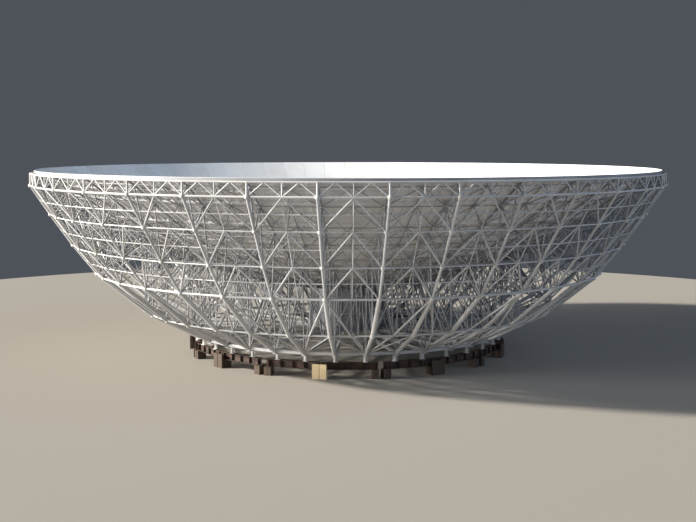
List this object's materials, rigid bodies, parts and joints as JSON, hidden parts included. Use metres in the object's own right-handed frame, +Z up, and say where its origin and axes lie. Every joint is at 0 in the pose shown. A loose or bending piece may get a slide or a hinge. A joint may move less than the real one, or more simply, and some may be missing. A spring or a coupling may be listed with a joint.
{
  "type": "radio telescope dish",
  "caption": "Large parabolic antenna reflector with a ribbed steel lattice back, lying face up on low beams and timber blocks.",
  "frame": {"origin": "on the ground under the centre of the reflector's rim", "axes": "+Z up along the reflector's axis, -Y towards the side with a support's middle block; the dish faces +Z"},
  "size_m": [39.9528, 39.9528, 11.75],
  "materials": {
    "panel": "matt white paint",
    "rib_steel": "satin off-white paint",
    "lattice_steel": "satin off-white paint",
    "hub_steel": "satin off-white paint",
    "support": "rough sawn timber with rusty steel beams"
  },
  "bodies": {
    "root": {"main_rib_01": "rib_steel", "main_rib_02": "rib_steel", "main_rib_03": "rib_steel", "main_rib_04": "rib_steel", "main_rib_05": "rib_steel", "main_rib_06": "rib_steel", "main_rib_07": "rib_steel", "main_rib_08": "rib_steel", "main_rib_09": "rib_steel", "main_rib_10": "rib_steel", "main_rib_11": "rib_steel", "main_rib_12": "rib_steel", "main_rib_13": "rib_steel", "main_rib_14": "rib_steel", "main_rib_15": "rib_steel", "main_rib_16": "rib_steel", "main_rib_17": "rib_steel", "main_rib_18": "rib_steel", "lower_lattice_1": "lattice_steel", "lower_lattice_2": "lattice_steel", "lower_lattice_3": "lattice_steel", "lower_lattice_4": "lattice_steel", "lower_lattice_5": "lattice_steel", "lower_lattice_6": "lattice_steel", "lower_lattice_7": "lattice_steel", "lower_lattice_8": "lattice_steel", "lower_lattice_9": "lattice_steel", "inner_reflector_1": "panel", "inner_reflector_2": "panel", "inner_reflector_3": "panel", "inner_reflector_4": "panel", "outer_reflector_1": "panel", "outer_reflector_2": "panel", "outer_reflector_3": "panel", "outer_reflector_4": "panel", "outer_reflector_5": "panel", "outer_reflector_6": "panel", "outer_reflector_7": "panel", "outer_reflector_8": "panel", "outer_reflector_9": "panel", "hub_drum": "hub_steel", "hub_flange": "hub_steel", "support_1": "support", "support_2": "support", "support_3": "support", "support_4": "support", "support_5": "support", "support_6": "support", "support_7": "support", "support_8": "support", "support_9": "support"}
  },
  "joints": []
}
